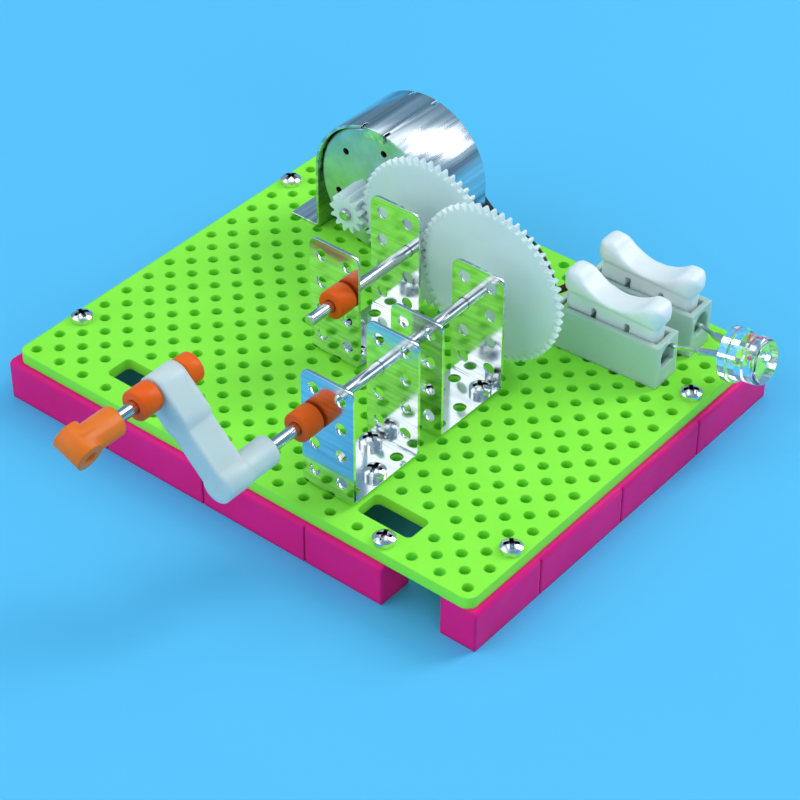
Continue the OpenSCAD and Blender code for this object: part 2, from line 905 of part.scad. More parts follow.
// Contact clips: one bent strip on the floor of each trough, with a leaf at each end
module contact_clips() {
    leaf_h = opening_low - housing_floor;
    color("gold")
        stand()
            connector_place()
                for (side = [-1, 1])
                    translate([0, side * pole_pitch / 2, housing_floor])
                        stand_up(-stem_w / 2, stem_w / 2)
                            polygon([
                                [-clip_l / 2, 0], [clip_l / 2, 0], [clip_l / 2 - leaf_l, leaf_h],
                                [clip_l / 2 - leaf_l - clip_t, leaf_h], [clip_l / 2 - 2 * clip_t, clip_t],
                                [-clip_l / 2 + 2 * clip_t, clip_t], [-clip_l / 2 + leaf_l + clip_t, leaf_h],
                                [-clip_l / 2 + leaf_l, leaf_h]
                            ]);
}

module connector_screw() {
    color("silver")
        stand()
            translate(concat(hole_at(connector_hold), [board_top + web_h]))
                rotate(15)
                    screw(screw_l);
}

// Rocker lever: a pad with round ends and a saddle, on a stem with two slots
module lever(side) {
    pad_t = lever_h - pad_under;
    connector_place()
        translate([0, side * pole_pitch / 2, pivot_h])
            rotate([0, lever_rest, 0])
                translate([0, 0, -pivot_h]) {
                    intersection() {
                        stand_up(-lever_w, lever_w)
                            pad_side();
                        rotate([90, 0, 90])
                            linear_extrude(lever_l + 2 * past, center = true)
                                translate([0, pad_under + pad_t / 2])
                                    round_rect(lever_w, pad_t + 2 * fit_gap, lever_edge_r);
                        linear_extrude(lever_h + past)
                            pad_plan();
                    }
                    lever_stem();
                    translate([0, 0, pivot_h])
                        rotate([90, 0, 0])
                            cylinder(d = pivot_d, h = pole_w - 2 * pivot_cap - 2 * pivot_play, center = true);
                }
}

// Side view of a pad: two round ends, joined by an arc that is tangent to both
module pad_side() {
    end_r = (lever_h - pad_under) / 2;
    end_x = lever_l / 2 - end_r;
    end_z = pad_under + end_r;
    floor_z = lever_h - saddle_depth;
    drop = floor_z - end_z;
    saddle_r = (pow(end_x, 2) + pow(drop, 2) - pow(end_r, 2)) / (2 * (end_r - drop));
    crest_z = end_z + end_r * (floor_z + saddle_r - end_z) / (saddle_r + end_r);
    for (side = [-1, 1])
        translate([side * end_x, end_z])
            circle(end_r);
    difference() {
        translate([-end_x, pad_under])
            square([2 * end_x, crest_z - pad_under]);
        translate([0, floor_z + saddle_r])
            circle(saddle_r + fit_gap);
    }
}

module pad_plan() {
    plan_w = lever_w + 2 * fit_gap;
    square([lever_l - lever_w, plan_w], center = true);
    for (side = [-1, 1])
        translate([side * (lever_l - lever_w) / 2, 0])
            circle(d = plan_w);
}

// Stem: its middle goes down round the pivots, its ends stop above the wires
module lever_stem() {
    stem_top = lever_h - saddle_depth - fit_gap;
    difference() {
        union() {
            translate([0, 0, stem_end_low])
                linear_extrude(stem_top - stem_end_low)
                    round_rect(stem_l, stem_w, stem_corner_r);
            translate([-stem_slot_x, -stem_w / 2, stem_low])
                cube([2 * stem_slot_x, stem_w, stem_top - stem_low]);
        }
        for (side = [-1, 1])
            translate([side * stem_slot_x - stem_slot_w / 2, -pole_w / 2, 0])
                cube([stem_slot_w, pole_w, stem_slot_top]);
    }
}

module front_lever() {
    color("white")
        stand()
            lever(-1);
}

module rear_lever() {
    color("white")
        stand()
            lever(1);
}

// Puts the lamp's back at the origin and its axis along +X
module lamp_place() {
    translate([lamp_reach, lamp_y, lamp_z])
        rotate([0, -lamp_tilt, 0])
            children();
}

// Lamp: clear body with a flange and a flat front, cast round the two posts of its leads
module lamp_lens() {
    color("azure", 0.5)
        stand()
            lamp_place()
                difference() {
                    rotate([0, 90, 0]) {
                        cylinder(d = lamp_flange_d, h = lamp_flange_t);
                        rotate_extrude()
                            lens_half();
                    }
                    lamp_posts(fit_gap);
                }
}

module lens_half() {
    body_r = lamp_d / 2;
    square([body_r - lamp_edge_r, lamp_l]);
    square([body_r, lamp_l - lamp_edge_r]);
    translate([body_r - lamp_edge_r, lamp_l - lamp_edge_r])
        circle(lamp_edge_r);
}

// Posts inside the lamp: a straight one, and one that ends in a cup
module lamp_posts(gap) {
    for (side = [-1, 1])
        translate([post_l / 2, side * lead_pitch / 2, 0])
            cube([post_l, lead_t, lead_t] + 2 * gap * [1, 1, 1], center = true);
    translate([post_l - gap, lead_pitch / 2, 0])
        rotate([0, 90, 0])
            cylinder(d = cup_d + 2 * gap, h = cup_l + 2 * gap);
}

// Straight length of lead between two points
module lead_run(from, to, width) {
    way = to - from;
    translate(from)
        rotate([0, -asin(way[2] / norm(way)), atan2(way[1], way[0])])
            translate([norm(way) / 2, 0, 0])
                cube([norm(way), width, lead_t], center = true);
}

// Leads from the connector to the lamp: thin as they leave the connector, with a wide shoulder at the lamp
module lamp_leads() {
    color("silver")
        stand() {
            for (side = [-1, 1]) {
                y = side * (pole_pitch / 2 - lead_offset);
                mouth = connector_point([connector_l / 2 + lead_t, y, lead_h]);
                foot = [lamp_reach - 2 * lead_t, lamp_y + side * lead_pitch / 2, lamp_z];
                lead_run(connector_point([connector_l / 2 - wire_grip, y, lead_h]), mouth, lead_t);
                lead_run(mouth - [lead_t / 2, 0, 0], foot, lead_t);
                lead_run(mouth + shoulder_start * (foot - mouth), foot, shoulder_w);
                lamp_place()
                    translate([-3 / 2 * lead_t, side * lead_pitch / 2, 0])
                        cube([3 * lead_t, lead_t, lead_t], center = true);
            }
            lamp_place()
                lamp_posts(0);
        }
}

// Smooth curve through a list of points, and the frame of each ring round it
function spline_at(p, i, t) =
    let (a = p[max(i - 1, 0)], b = p[i], c = p[i + 1], d = p[min(i + 2, len(p) - 1)])
    0.5 * (2 * b + (c - a) * t + (2 * a - 5 * b + 4 * c - d) * t * t + (3 * b - 3 * c + d - a) * t * t * t);
function route(p) = concat(
    [for (i = [0:len(p) - 2], s = [0:wire_steps - 1]) spline_at(p, i, s / wire_steps)], [p[len(p) - 1]]);
function unit(v) = v / norm(v);

// Tube along a route: a ring of points at each step, joined by triangles
module tube(p, d) {
    last = len(p) - 1;
    rings = [for (i = [0:last])
        let (ahead = unit(p[min(i + 1, last)] - p[max(i - 1, 0)]))
        let (side = unit(cross([0, 0, 1], ahead)))
        let (up = cross(ahead, side))
        [for (k = [0:wire_sides - 1])
            let (a = 360 * (k + 0.5) / wire_sides)
            p[i] + d / 2 * (cos(a) * side + sin(a) * up)]];
    points = [for (ring = rings) for (point = ring) point];
    walls = [for (i = [0:last - 1], k = [0:wire_sides - 1])
        let (n = (k + 1) % wire_sides, a = i * wire_sides, b = a + wire_sides)
        for (face = [[a + k, b + k, b + n], [a + k, b + n, a + n]]) face];
    ends = [[for (k = [0:wire_sides - 1]) k],
        [for (k = [wire_sides - 1:-1:0]) last * wire_sides + k]];
    polyhedron(points, concat(walls, ends));
}

function terminal_point(side) = [motor_x + side * terminal_x, motor_back + terminal_l + fit_gap, motor_z];
function pole_point(side, reach) = connector_point([-connector_l / 2 + reach, side * pole_pitch / 2, wire_h]);

// Route of a wire, with a straight stretch at each end
function wire_route(terminal, bends, pole) =
    let (start = terminal_point(terminal))
    concat([start], route(concat([start + [0, wire_d, 0]], bends, [pole_point(pole, -wire_d)])),
        [pole_point(pole, wire_grip)]);

module black_wire() {
    color("black")
        stand()
            tube(wire_route(1, black_bends, -1), wire_d);
}

module red_wire() {
    color("red")
        stand()
            tube(wire_route(-1, red_bends, 1), wire_d);
}

module crank_shaft() {
    color("silver")
        stand()
            translate([crank_x, 0, shaft_z])
                bar_along_y(shaft_d, crank_front + bore_floor, crank_shaft_back, shaft_end_r);
}

// Outline of the crank arm: a boss at the shaft, a narrow middle and a long wide end at the handle
module arm_plan() {
    for (x = [0, crank_r - arm_end_l, crank_r])
        translate([x, 0])
            circle(d = arm_boss_d);
    translate([crank_r - arm_end_l, -arm_boss_d / 2])
        square([arm_end_l, arm_boss_d]);
    translate([0, -arm_w / 2])
        square([crank_r, arm_w]);
}

// Crank arm with a hub that grips the shaft and a hole for the handle's pin
module crank_arm() {
    arm_turn = -crank_angle;
    color("whitesmoke", 0.8)
        stand()
            translate([crank_x, 0, shaft_z])
                rotate([0, arm_turn, 0])
                    difference() {
                        union() {
                            stand_up(crank_front, hub_back)
                                circle(d = hub_d);
                            stand_up(crank_front, arm_back)
                                arm_plan();
                        }
                        stand_up(crank_front + bore_floor, hub_back + past)
                            circle(d = shaft_d + 2 * fit_gap);
                        translate([crank_r, 0, 0])
                            stand_up(crank_front - past, arm_back + past)
                                circle(d = shaft_d + 2 * bush_gap);
                    }
}

module crank_collar() {
    color("orangered")
        stand()
            translate([crank_x, 0, shaft_z])
                ring_along_y(collar_d, shaft_d + 2 * fit_gap, front_bracket_front - run_gap - collar_l,
                    front_bracket_front - run_gap);
}

// Drive gear with a hub that reaches the rear bracket
module drive_gear() {
    color("ghostwhite", 0.8)
        stand()
            translate([crank_x, 0, shaft_z])
                difference() {
                    union() {
                        stand_up(drive_gear_front, drive_gear_front + gear_w)
                            gear_plan(gear_teeth, -profile_shift, gear_tip_r, 180);
                        stand_up(rear_bracket_back + run_gap, drive_gear_front + gear_w)
                            circle(d = gear_hub_d);
                    }
                    stand_up(rear_bracket_back, drive_gear_front + gear_w + past)
                        circle(d = shaft_d + 2 * fit_gap);
                }
}

module handle_pin() {
    color("silver")
        stand()
            translate([handle_x, 0, handle_z])
                bar_along_y(shaft_d, cross_y + cross_d / 2, pin_back, shaft_end_r);
}

// Two collars that keep the pin in the arm, a long one in front and a short one behind
module handle_collars() {
    color("orangered")
        stand()
            translate([handle_x, 0, handle_z])
                for (span = [[crank_front - run_gap - collar_l, collar_l], [arm_back + run_gap, short_collar_l]])
                    ring_along_y(collar_d, shaft_d + 2 * fit_gap, span[0], span[0] + span[1]);
}

// Knob: a barrel on the pin, with a cross piece that has a bore of its own
module handle_knob() {
    color("darkorange")
        stand()
            translate([handle_x, 0, handle_z])
                difference() {
                    union() {
                        stand_up(cross_y, knob_back)
                            circle(d = knob_d);
                        translate([0, cross_y, 0])
                            rotate([0, 90 + knob_turn, 0])
                                cylinder(d = cross_d, h = cross_l, center = true);
                    }
                    stand_up(cross_y + cross_d / 2, knob_back + past)
                        circle(d = shaft_d + 2 * fit_gap);
                    translate([0, cross_y, 0])
                        rotate([0, 90 + knob_turn, 0])
                            cylinder(d = shaft_d + 2 * fit_gap, h = cross_l + past, center = true);
                }
}

module layshaft() {
    color("silver")
        stand()
            translate([layshaft_x, 0, shaft_z])
                bar_along_y(shaft_d, layshaft_collar_back - collar_l - layshaft_nose, layshaft_back, shaft_end_r);
}

module layshaft_collar() {
    color("orangered")
        stand()
            translate([layshaft_x, 0, shaft_z])
                ring_along_y(collar_d, shaft_d + 2 * fit_gap, layshaft_collar_back - collar_l, layshaft_collar_back);
}

// Double gear: the small gear meets the drive gear, the large one the motor's gear
module layshaft_gear() {
    color("ghostwhite", 0.8)
        stand()
            translate([layshaft_x, 0, shaft_z])
                difference() {
                    union() {
                        stand_up(pinion_front, layshaft_gear_back)
                            gear_plan(pinion_teeth, profile_shift, tip_radius(pinion_teeth, profile_shift) - tip_relief,
                                180 / pinion_teeth);
                        stand_up(layshaft_gear_front, layshaft_gear_back)
                            gear_plan(gear_teeth, -profile_shift, gear_tip_r, motor_line);
                    }
                    stand_up(pinion_front - past, layshaft_gear_back + past)
                        circle(d = shaft_d + 2 * fit_gap);
                }
}

module motor_shaft() {
    color("silver")
        stand()
            translate([motor_x, 0, motor_z])
                bar_along_y(shaft_d, motor_pinion_front - shaft_proud, motor_back - fit_gap, shaft_end_r);
}

module motor_pinion() {
    color("ghostwhite", 0.8)
        stand()
            translate([motor_x, 0, motor_z])
                stand_up(motor_pinion_front, motor_pinion_back)
                    difference() {
                        gear_plan(motor_teeth, profile_shift, tip_radius(motor_teeth, profile_shift) - tip_relief,
                            motor_line + 180 + 180 / motor_teeth);
                        circle(d = shaft_d + 2 * fit_gap);
                    }
}

// Armature: three poles with broad shoes round the shaft
module armature_core() {
    core_r = armature_d / 2;
    color("slategray")
        stand()
            translate([motor_x, 0, motor_z])
                stand_up(core_front, core_front + core_l)
                    difference() {
                        union() {
                            circle(d = core_hub_d);
                            for (i = [0:2])
                                rotate(90 + 120 * i)
                                    translate([0, -pole_neck / 2])
                                        square([core_r - shoe_t / 2, pole_neck]);
                            difference() {
                                circle(core_r);
                                circle(core_r - shoe_t);
                                for (i = [0:2])
                                    rotate(30 + 120 * i)
                                        translate([0, -pole_slot / 2])
                                            square([armature_d, pole_slot]);
                            }
                        }
                        circle(d = shaft_d + 2 * fit_gap);
                    }
}

// Windings: one coil round the neck of each pole
module armature_windings() {
    shoe_r = armature_d / 2 - shoe_t;
    coil_in = core_hub_d / 2 + coil_gap;
    coil_out = sqrt(pow(shoe_r, 2) - pow(pole_neck / 2 + coil_t, 2)) - fit_gap;
    color("chocolate")
        stand()
            translate([motor_x, core_front + core_l / 2, motor_z])
                for (i = [0:2])
                    rotate([0, -(90 + 120 * i), 0])
                        translate([(coil_in + coil_out) / 2, 0, 0])
                            difference() {
                                cube([coil_out - coil_in, core_l + 2 * coil_t, pole_neck + 2 * coil_t], center = true);
                                cube([coil_out, core_l + 2 * fit_gap, pole_neck + 2 * fit_gap], center = true);
                            }
}

module commutator() {
    color("peru")
        stand()
            translate([motor_x, 0, motor_z])
                ring_along_y(commutator_d, shaft_d + 2 * fit_gap, commutator_front, commutator_back);
}

base_board();
front_rail();
right_rail();
left_rail();
board_screws();
front_bracket();
rear_bracket();
layshaft_bracket();
bracket_screws();
motor_strap();
strap_screws();
motor_can();
motor_end_cap();
motor_magnets();
front_bush();
rear_bush();
motor_brushes();
motor_terminals();
connector_housing();
contact_clips();
connector_screw();
lamp_lens();
lamp_leads();
black_wire();
red_wire();
crank_shaft();
crank_arm();
crank_collar();
drive_gear();
handle_pin();
handle_collars();
handle_knob();
layshaft();
layshaft_collar();
layshaft_gear();
motor_shaft();
motor_pinion();
armature_core();
armature_windings();
commutator();
front_lever();
rear_lever();
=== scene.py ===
"""Looks for the hand crank generator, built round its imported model.

Shapes, radii and depths are in millimetres until they are placed. Camera, floor and lights are in metres.
"""
import math

import bmesh
import bpy
from mathutils import Matrix, Quaternion, Vector


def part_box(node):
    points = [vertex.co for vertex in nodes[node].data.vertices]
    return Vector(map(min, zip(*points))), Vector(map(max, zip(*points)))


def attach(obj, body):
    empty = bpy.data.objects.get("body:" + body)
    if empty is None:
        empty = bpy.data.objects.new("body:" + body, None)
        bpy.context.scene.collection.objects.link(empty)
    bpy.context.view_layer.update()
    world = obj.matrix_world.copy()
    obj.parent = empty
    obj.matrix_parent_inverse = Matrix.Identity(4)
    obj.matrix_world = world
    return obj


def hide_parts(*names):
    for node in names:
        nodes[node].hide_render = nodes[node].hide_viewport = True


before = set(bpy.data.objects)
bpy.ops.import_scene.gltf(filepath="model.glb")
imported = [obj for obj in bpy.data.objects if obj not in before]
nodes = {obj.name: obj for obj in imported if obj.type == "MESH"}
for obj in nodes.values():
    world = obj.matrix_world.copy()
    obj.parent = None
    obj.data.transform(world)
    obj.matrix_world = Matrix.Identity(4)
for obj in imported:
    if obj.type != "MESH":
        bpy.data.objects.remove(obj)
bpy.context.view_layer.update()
MM = 0.001
# From the board's front right hole to the middle of the object, on the table
SHIFT = Vector((41.939659, -20.0581, 0.0))


def at(x, y, z):
    """A point of the source's own coordinates, in the row frame, in metres."""
    return (Vector((x, y, z)) + SHIFT) * MM


def put(name, data):
    """A new object in the scene."""
    piece = bpy.data.objects.new(name, data)
    bpy.context.scene.collection.objects.link(piece)
    return piece


# Camera: the photograph's own view, solved from the board's holes
eye = bpy.data.cameras.new("camera")
eye.sensor_width = 36
eye.lens = 112.13
eye.clip_start = 0.01
eye.dof.use_dof = False
camera = put("camera", eye)
camera.rotation_mode = "QUATERNION"
camera.location = (0.2040701, -0.2353706, 0.2624482)
camera.rotation_quaternion = Quaternion((0.8495753, 0.4067035, 0.1437453, 0.3035644))
bpy.context.scene.camera = camera
bpy.context.scene.view_settings.view_transform = "Standard"

# Materials
NOISE_LOW, NOISE_HIGH = 0.3, 0.7     # a noise seldom leaves this range
LINES_LOW, LINES_HIGH = 0.25, 0.6    # where the drawing lines of a metal are dark and light; on the motor strap they also paint reflection streaks
PAINTED_SHADE_FULL, PAINTED_SHADE_NONE = 0.42, 0.85  # how open a place is when it is all painted shade, or has none
# the colour painted into recesses as shade
PAINTED_SHADE_COLOUR = (0.03, 0.03, 0.03, 1)
PLASTIC_IOR = 1.5


class Shader:
    """A principled material with its own small node chains for colour, roughness and bump.

    The sockets are named in lower case, with underscores for spaces.
    """

    def __init__(self, name, **sockets):
        self.material = bpy.data.materials.new(name)
        self.material.use_nodes = True
        self.tree = self.material.node_tree
        self.shader = self.tree.nodes["Principled BSDF"]
        for key, value in sockets.items():
            socket = key.replace("_", " ").title().replace("Ior", "IOR")
            self.shader.inputs[socket].default_value = value
        self.place = self.add("ShaderNodeTexCoord").outputs["Object"]

    def add(self, kind, **settings):
        node = self.tree.nodes.new(kind)
        for key, value in settings.items():
            setattr(node, key, value)
        return node

    def link(self, a, b):
        self.tree.links.new(a, b)

    def noise(self, scale, detail, stretch=(1, 1, 1), rough=0.5):
        mapping = self.add("ShaderNodeMapping")
        mapping.inputs["Scale"].default_value = stretch
        self.link(self.place, mapping.inputs["Vector"])
        texture = self.add("ShaderNodeTexNoise")
        texture.inputs["Scale"].default_value = scale
        texture.inputs["Detail"].default_value = detail
        texture.inputs["Roughness"].default_value = rough
        self.link(mapping.outputs["Vector"], texture.inputs["Vector"])
        return texture.outputs["Fac"]

    def colour(self, fac, dark, light, low=NOISE_LOW, high=NOISE_HIGH):
        ramp = self.add("ShaderNodeValToRGB")
        stops = ((low, dark), (high, light))
        for element, (where, colour) in zip(ramp.color_ramp.elements, stops):
            element.position = where
            element.color = (*colour, 1)
        self.link(fac, ramp.inputs["Fac"])
        self.link(ramp.outputs["Color"], self.shader.inputs["Base Color"])

    def painted_recess_shade(self, reach):
        """Paints shade into the colour of what lies deeper than its surroundings, such as the recess of a
        screw.
        """
        closed = self.add("ShaderNodeAmbientOcclusion", samples=8, only_local=True)
        closed.inputs["Distance"].default_value = reach * MM
        dark = self.add("ShaderNodeValToRGB")
        full, none = dark.color_ramp.elements
        full.position = PAINTED_SHADE_FULL
        full.color = PAINTED_SHADE_COLOUR
        none.position = PAINTED_SHADE_NONE
        self.link(closed.outputs["AO"], dark.inputs["Fac"])
        mix = self.add("ShaderNodeMixRGB", blend_type="MULTIPLY")
        mix.inputs["Fac"].default_value = 1.0
        base = self.shader.inputs["Base Color"]
        self.link(base.links[0].from_socket, mix.inputs["Color1"])
        self.link(dark.outputs["Color"], mix.inputs["Color2"])
        self.link(mix.outputs["Color"], base)

    def roughness(self, fac, low, high):
        spread = self.add("ShaderNodeMapRange")
        spread.inputs["From Min"].default_value = NOISE_LOW
        spread.inputs["From Max"].default_value = NOISE_HIGH
        spread.inputs["To Min"].default_value = low
        spread.inputs["To Max"].default_value = high
        self.link(fac, spread.inputs["Value"])
        self.link(spread.outputs["Result"], self.shader.inputs["Roughness"])

    def bump(self, fac, depth, strength, edge=0.0):
        """Bumps of this depth, over corners that look rounded to the radius edge."""
        bump = self.add("ShaderNodeBump")
        if edge:
            rounded = self.add("ShaderNodeBevel", samples=6)
            rounded.inputs["Radius"].default_value = edge * MM
            self.link(rounded.outputs["Normal"], bump.inputs["Normal"])
        bump.inputs["Distance"].default_value = depth * MM
        bump.inputs["Strength"].default_value = strength
        self.link(fac, bump.inputs["Height"])
        self.link(bump.outputs["Normal"], self.shader.inputs["Normal"])


def moulded(name, dark, light, rough, glow=0.0, scatter=(1, 1, 1), depth=1.0,
            grain=0.004, spots=900, gloss=0.5, edge=0.0):
    """Moulded plastic: faint flow marks in the colour, a fine skin, and some light that travels inside.

    glow is the share of that light, and scatter and depth say how far each colour of it goes.
    grain and spots are the depth and fineness of the skin.
    """
    s = Shader(name, subsurface_weight=glow, subsurface_radius=scatter, subsurface_scale=depth * MM,
               ior=PLASTIC_IOR, specular_ior_level=gloss)
    s.colour(s.noise(scale=70, detail=3, stretch=(1, 1, 1.6)), dark, light)
    s.roughness(s.noise(scale=260, detail=4), rough * 0.82, rough * 1.2)
    s.bump(s.noise(spots, detail=3), grain, strength=0.6, edge=edge)
    return s.material


def plated(name, dark, light, rough, scale, depth, stretch=(1, 1, 1), painted_recess_shade=0.0):
    """Metal: lines along the axis with the smallest stretch, cloudy patches, and painted shade in its
    recesses.
    """
    s = Shader(name, metallic=1.0)
    lines = s.noise(scale, detail=4, stretch=stretch, rough=0.6)
    patches = s.noise(scale=160, detail=4, stretch=stretch, rough=0.6)
    s.colour(lines, dark, light, LINES_LOW, LINES_HIGH)
    s.roughness(patches, rough * 0.7, rough * 1.5)
    s.bump(lines, depth, strength=0.5)
    if painted_recess_shade:
        s.painted_recess_shade(painted_recess_shade)
    return s.material


def clear_casting():
    s = Shader("clear_casting", transmission_weight=1.0, ior=PLASTIC_IOR, base_color=(0.97, 0.99, 1.0, 1))
    s.roughness(s.noise(scale=300, detail=2), 0.04, 0.12)
    s.bump(s.noise(scale=160, detail=2), depth=0.02, strength=0.4)
    return s.material


def lit_chip():
    s = Shader("lit_chip", emission_strength=140.0, emission_color=(1.0, 0.93, 0.78, 1))
    s.colour(s.noise(scale=2000, detail=2), (0.9, 0.8, 0.4), (1.0, 0.95, 0.6))
    return s.material


green = moulded("board_plastic", (0.29, 0.95, 0.050), (0.33, 1.0, 0.065), rough=0.36,
                glow=0.12, scatter=(0.4, 1.0, 0.15), depth=1.2, gloss=0.25, edge=0.35)
pink = moulded("rail_plastic", (0.93, 0.010, 0.200), (1.0, 0.014, 0.235), rough=0.36,
               glow=0.10, scatter=(1.0, 0.2, 0.4), depth=1.2, gloss=0.12, edge=0.9)
orange = moulded("collar_plastic", (0.94, 0.105, 0.002), (1.0, 0.140, 0.003), rough=0.42,
                 glow=0.15, scatter=(1.0, 0.35, 0.1), gloss=0.2, edge=0.35)
amber = moulded("knob_plastic", (0.92, 0.175, 0.006), (1.0, 0.225, 0.010), rough=0.40,
                glow=0.15, scatter=(1.0, 0.4, 0.1), gloss=0.35, edge=0.5)
frosted = moulded("gear_plastic", (0.69, 0.78, 0.74), (0.77, 0.85, 0.81), rough=0.40,
                  glow=0.60, depth=2.2, grain=0.003, spots=1400)
satin = moulded("arm_plastic", (0.57, 0.65, 0.61), (0.65, 0.72, 0.68), rough=0.42,
                glow=0.60, depth=2.2, grain=0.003, spots=1400, edge=0.9)
white = moulded("lever_plastic", (0.84, 0.85, 0.82), (0.90, 0.91, 0.88), rough=0.36,
                glow=0.65, scatter=(1.0, 1.0, 0.95), depth=2.0, grain=0.002, spots=1200)
milky = moulded("housing_plastic", (0.50, 0.63, 0.54), (0.56, 0.68, 0.59), rough=0.34,
                glow=0.45, scatter=(1.0, 1.0, 0.95), depth=1.6, grain=0.002, spots=1200, edge=0.45)
black = moulded("end_cap_plastic", (0.010, 0.010, 0.012), (0.020, 0.020, 0.022), rough=0.5)
black_cover = moulded("black_cover", (0.006, 0.005, 0.005), (0.016, 0.012, 0.011), rough=0.42)
red_cover = moulded("red_cover", (0.10, 0.004, 0.005), (0.15, 0.006, 0.007), rough=0.42,
                    glow=0.1, scatter=(1, 0.2, 0.2), depth=0.6)
clear = clear_casting()
glow = lit_chip()
mirror = plated("bright_plating", (0.58, 0.61, 0.62), (0.86, 0.88, 0.88), rough=0.12,
                scale=260, depth=0.0003, stretch=(0.35, 0.35, 5.0))
# The strap's dark lines are brushing marks, and at this contrast also painted dark reflection streaks.
zinc = plated("zinc_plating", (0.17, 0.21, 0.24), (0.80, 0.83, 0.84), rough=0.24,
              scale=150, depth=0.0005, stretch=(3.2, 0.02, 3.2))
can_steel = plated("can_steel", (0.42, 0.49, 0.54), (0.60, 0.68, 0.73), rough=0.34,
                   scale=240, depth=0.001)
ground = plated("ground_steel", (0.40, 0.40, 0.40), (0.70, 0.70, 0.69), rough=0.16,
                scale=260, depth=0.0012, stretch=(6.0, 0.6, 6.0))
# The screws and leads get painted shade in their recesses.
nickel = plated("nickel_plating", (0.64, 0.64, 0.63), (0.86, 0.86, 0.85), rough=0.20,
                scale=700, depth=0.002, painted_recess_shade=0.8)
spring = plated("spring_steel", (0.13, 0.12, 0.10), (0.34, 0.32, 0.28), rough=0.32,
                scale=500, depth=0.002, stretch=(1, 1, 4))
brass = plated("brass", (0.62, 0.42, 0.14), (0.80, 0.58, 0.24), rough=0.26,
               scale=400, depth=0.001, stretch=(1, 1, 4))
bronze = plated("sintered_bronze", (0.36, 0.22, 0.10), (0.52, 0.34, 0.16), rough=0.48,
                scale=1500, depth=0.006)
ferrite = plated("ferrite", (0.03, 0.03, 0.032), (0.06, 0.06, 0.065), rough=0.60,
                 scale=900, depth=0.004)
laminated = plated("core_sheets", (0.16, 0.17, 0.18), (0.34, 0.35, 0.36), rough=0.38,
                   scale=400, depth=0.01, stretch=(0.2, 9.0, 0.2))
copper = plated("enamelled_copper", (0.42, 0.13, 0.05), (0.66, 0.26, 0.11), rough=0.30,
                scale=420, depth=0.01, stretch=(0.3, 8.0, 8.0))

by_node = {
    green: ["base_board"],
    pink: ["front_rail", "right_rail", "left_rail"],
    nickel: ["board_screws", "bracket_screws", "strap_screws", "connector_screw", "lamp_leads"],
    mirror: ["front_bracket", "rear_bracket", "layshaft_bracket"],
    zinc: ["motor_strap"],
    can_steel: ["motor_can"],
    black: ["motor_end_cap"],
    ferrite: ["motor_magnets"],
    bronze: ["front_bush", "rear_bush"],
    brass: ["motor_brushes", "motor_terminals"],
    spring: ["contact_clips"],
    milky: ["connector_housing"],
    white: ["front_lever", "rear_lever"],
    clear: ["lamp_lens"],
    ground: ["crank_shaft", "handle_pin", "layshaft", "motor_shaft"],
    satin: ["crank_arm"],
    frosted: ["drive_gear", "layshaft_gear", "motor_pinion"],
    orange: ["crank_collar", "handle_collars", "layshaft_collar"],
    amber: ["handle_knob"],
    laminated: ["armature_core"],
    copper: ["armature_windings", "commutator"],
}
for material, names in by_node.items():
    for name in names:
        mesh = nodes[name].data
        mesh.materials.clear()
        mesh.materials.append(material)

# Edges: what is moulded, stamped or drawn has no sharp corner
WELD_REACH = 0.002
SHARP = math.radians(38)


def soften(width, segments, *names):
    for name in names:
        weld = nodes[name].modifiers.new("weld", "WELD")
        weld.merge_threshold = WELD_REACH * MM
        edge = nodes[name].modifiers.new("edge", "BEVEL")
        edge.width = width * MM
        edge.segments = segments
        edge.limit_method = "ANGLE"
        edge.angle_limit = SHARP
        edge.harden_normals = True


soften(0.35, 2, "front_rail", "right_rail", "left_rail")
soften(0.70, 3, "crank_arm")
soften(0.30, 2, "crank_collar", "handle_collars", "layshaft_collar", "handle_knob", "connector_housing")
soften(0.12, 2, "front_bracket", "rear_bracket", "layshaft_bracket", "motor_strap")

# Levers: the source's solids with every crease of the pad run into its neighbours, and the stem left crisp
SKIN = 0.16        # size of the new mesh's faces
PAD_DEPTH = 5.6    # from the lever's top to where the pad begins
PAD_FADE = 1.5     # height over which the smoothing comes in, from there upwards
STEM_SHARE = 0.06  # of the smoothing, below the pad
SMOOTHING_TURNS = 70


def soft_lever(name):
    _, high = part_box(name)
    pad_low = high[2] - PAD_DEPTH * MM
    piece = put(name + "_moulding", nodes[name].data.copy())
    remesh = piece.modifiers.new("skin", "REMESH")
    remesh.mode = "VOXEL"
    remesh.voxel_size = SKIN * MM
    graph = bpy.context.evaluated_depsgraph_get()
    mesh = bpy.data.meshes.new_from_object(piece.evaluated_get(graph))
    piece.modifiers.clear()
    piece.data = mesh
    mesh.materials.clear()
    mesh.materials.append(white)
    mesh.polygons.foreach_set("use_smooth", [True] * len(mesh.polygons))
    pad = piece.vertex_groups.new(name="pad")
    for vertex in mesh.vertices:
        share = (vertex.co.z - pad_low) / (PAD_FADE * MM)
        pad.add([vertex.index], min(max(share, STEM_SHARE), 1.0), "REPLACE")
    soft = piece.modifiers.new("soft", "SMOOTH")
    soft.factor = 0.5
    soft.iterations = SMOOTHING_TURNS
    soft.vertex_group = "pad"
    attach(piece, name)
    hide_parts(name)


soft_lever("front_lever")
soft_lever("rear_lever")

# Wires: the routes of the source, from the motor's terminals to the connector
WIRE_D = 1.3
MOTOR = Vector((-64.85005, 71.853, 21.92))    # midway between the terminals
TERMINAL = 5.2                                # from there to a terminal
CONNECTOR = Vector((-15.9999, 63.9996, 9.6))  # middle of its underside
CONNECTOR_TURN = Matrix.Rotation(math.radians(3), 3, "Z")
HOUSING_END = -10.3                           # from the connector's middle to its end with the wires
GRIP = -7.7                                   # from its middle to the wires' ends in the clips
POLE = 5.25                                   # from its middle to a pole
MOUTH_HEIGHT = 5.3


